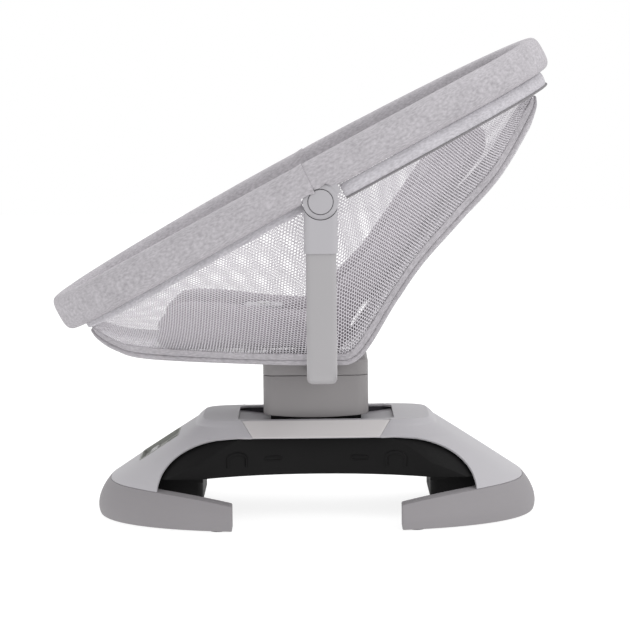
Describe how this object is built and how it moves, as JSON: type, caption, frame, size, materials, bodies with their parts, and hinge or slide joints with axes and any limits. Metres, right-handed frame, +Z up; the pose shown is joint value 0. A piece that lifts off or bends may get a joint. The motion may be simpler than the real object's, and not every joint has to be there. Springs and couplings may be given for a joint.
{
  "type": "baby swing",
  "caption": "Baby swing: oval reclining mesh seat with a padded rim, on a turning yoke and a column that glides along a low arched base.",
  "frame": {"origin": "bottom centre of the whole swing's box, on the floor", "axes": "+X from the foot end to the head end of the seat, +Y to the far side, +Z up"},
  "size_m": [0.6368, 0.498, 0.607],
  "materials": {
    "base_plastic": "moulded light warm grey, fine satin grain",
    "foot_plastic": "moulded grey, a little darker and rougher than the shell",
    "rubber_pad": "matt black rubber",
    "black_plastic": "moulded black, satin",
    "panel_plastic": "pale grey, satin",
    "smoked_lens": "smoked clear plastic, gloss",
    "key_plastic": "pale grey, satin",
    "steel": "bare steel",
    "copper": "varnished copper winding",
    "circuit_board": "green solder mask",
    "column_plastic": "moulded taupe grey, satin",
    "painted_arm": "grey powder coat",
    "hub_plastic": "moulded grey, satin",
    "rim_cloth": "grey melange jersey over foam",
    "band_cloth": "pale grey melange jersey",
    "mesh_cloth": "pale lilac-grey spacer mesh",
    "insert_cloth": "soft pale grey jersey over wadding",
    "webbing": "grey polyester webbing"
  },
  "bodies": {
    "root": {"base_shell": "base_plastic", "fascia_near": "base_plastic", "fascia_far": "base_plastic", "swing_deck": "base_plastic", "foot_band_foot_end": "foot_plastic", "foot_band_head_end": "foot_plastic", "foot_pad_foot_end_far": "rubber_pad", "foot_pad_foot_end_near": "rubber_pad", "foot_pad_head_end_far": "rubber_pad", "foot_pad_head_end_near": "rubber_pad", "base_tray": "black_plastic", "leg_housing_foot_end": "black_plastic", "leg_housing_head_end": "black_plastic", "power_inlet": "black_plastic", "control_panel": "panel_plastic", "display_lens": "smoked_lens", "rail_near": "steel", "rail_far": "steel", "drive_coil": "copper", "main_board": "circuit_board"},
    "key_power_body": {"key_power": "key_plastic"},
    "key_speed_body": {"key_speed": "key_plastic"},
    "key_sound_body": {"key_sound": "key_plastic"},
    "swing_carriage": {"carriage": "black_plastic", "drive_magnet": "steel", "column_shell": "column_plastic", "turn_bush": "panel_plastic"},
    "wheels_foot_end": {"wheelset_foot_end": "black_plastic"},
    "wheels_head_end": {"wheelset_head_end": "black_plastic"},
    "yoke": {"turret_cap": "column_plastic", "turn_spindle": "steel", "yoke_tube": "painted_arm", "yoke_sleeve_near": "hub_plastic", "yoke_sleeve_far": "hub_plastic"},
    "seat": {"ring_tube_foot": "steel", "ring_tube_head": "steel", "hub_bracket_near": "hub_plastic", "hub_bracket_far": "hub_plastic", "hub_pin_near": "steel", "hub_pin_far": "steel", "rim_sleeve_foot": "rim_cloth", "rim_sleeve_head": "rim_cloth", "head_band": "band_cloth", "lower_hoop": "steel", "side_mesh_near": "mesh_cloth", "side_mesh_far": "mesh_cloth", "seat_sling": "mesh_cloth", "insert_seat": "insert_cloth", "insert_back": "insert_cloth", "head_pillow": "insert_cloth", "bolster_near": "insert_cloth", "bolster_far": "insert_cloth", "crotch_strap": "webbing", "waist_strap_near": "webbing", "waist_strap_far": "webbing", "buckle": "hub_plastic"},
    "recline_button_near_body": {"recline_button_near": "hub_plastic"},
    "recline_button_far_body": {"recline_button_far": "hub_plastic"},
    "buckle_key_body": {"buckle_key": "key_plastic"}
  },
  "joints": [
    {"name": "swing", "type": "hinge", "parent": "root", "child": "swing_carriage", "pos_m": [0.0178, 0, 0.69], "axis": [0, 1, 0], "range_deg": [-2.8, 2.8]},
    {"name": "wheel_spin_foot_end", "type": "hinge", "parent": "swing_carriage", "child": "wheels_foot_end", "pos_m": [-0.0272, 0, 0.09269], "axis": [0, 1, 0], "range_deg": [-160, 160]},
    {"name": "wheel_spin_head_end", "type": "hinge", "parent": "swing_carriage", "child": "wheels_head_end", "pos_m": [0.0628, 0, 0.09269], "axis": [0, 1, 0], "range_deg": [-160, 160]},
    {"name": "seat_turn", "type": "hinge", "parent": "swing_carriage", "child": "yoke", "pos_m": [0.0178, 0, 0.181], "axis": [0, 0, 1], "range_deg": [-90, 90]},
    {"name": "recline", "type": "hinge", "parent": "yoke", "child": "seat", "pos_m": [0.0258, 0, 0.4147], "axis": [0, 1, 0], "range_deg": [0, 12]},
    {"name": "recline_press_near", "type": "slide", "parent": "seat", "child": "recline_button_near_body", "axis": [0, 1, 0], "range_m": [0, 0.003], "stiffness_N_per_m": 400, "springref_m": -0.001},
    {"name": "recline_press_far", "type": "slide", "parent": "seat", "child": "recline_button_far_body", "axis": [0, -1, 0], "range_m": [0, 0.003], "stiffness_N_per_m": 400, "springref_m": -0.001},
    {"name": "buckle_press", "type": "slide", "parent": "seat", "child": "buckle_key_body", "axis": [0, 0, -1], "range_m": [0, 0.002], "stiffness_N_per_m": 400, "springref_m": -0.001},
    {"name": "press_power", "type": "slide", "parent": "root", "child": "key_power_body", "axis": [0.5374, 0, -0.8434], "range_m": [0, 0.001], "stiffness_N_per_m": 500, "springref_m": -0.001},
    {"name": "press_speed", "type": "slide", "parent": "root", "child": "key_speed_body", "axis": [0.5374, 0, -0.8434], "range_m": [0, 0.001], "stiffness_N_per_m": 500, "springref_m": -0.001},
    {"name": "press_sound", "type": "slide", "parent": "root", "child": "key_sound_body", "axis": [0.5374, 0, -0.8434], "range_m": [0, 0.001], "stiffness_N_per_m": 500, "springref_m": -0.001}
  ],
  "couplings": [
    {"joint": "wheel_spin_foot_end", "follows": "swing", "ratio": -55.455},
    {"joint": "wheel_spin_head_end", "follows": "swing", "ratio": -55.455}
  ]
}
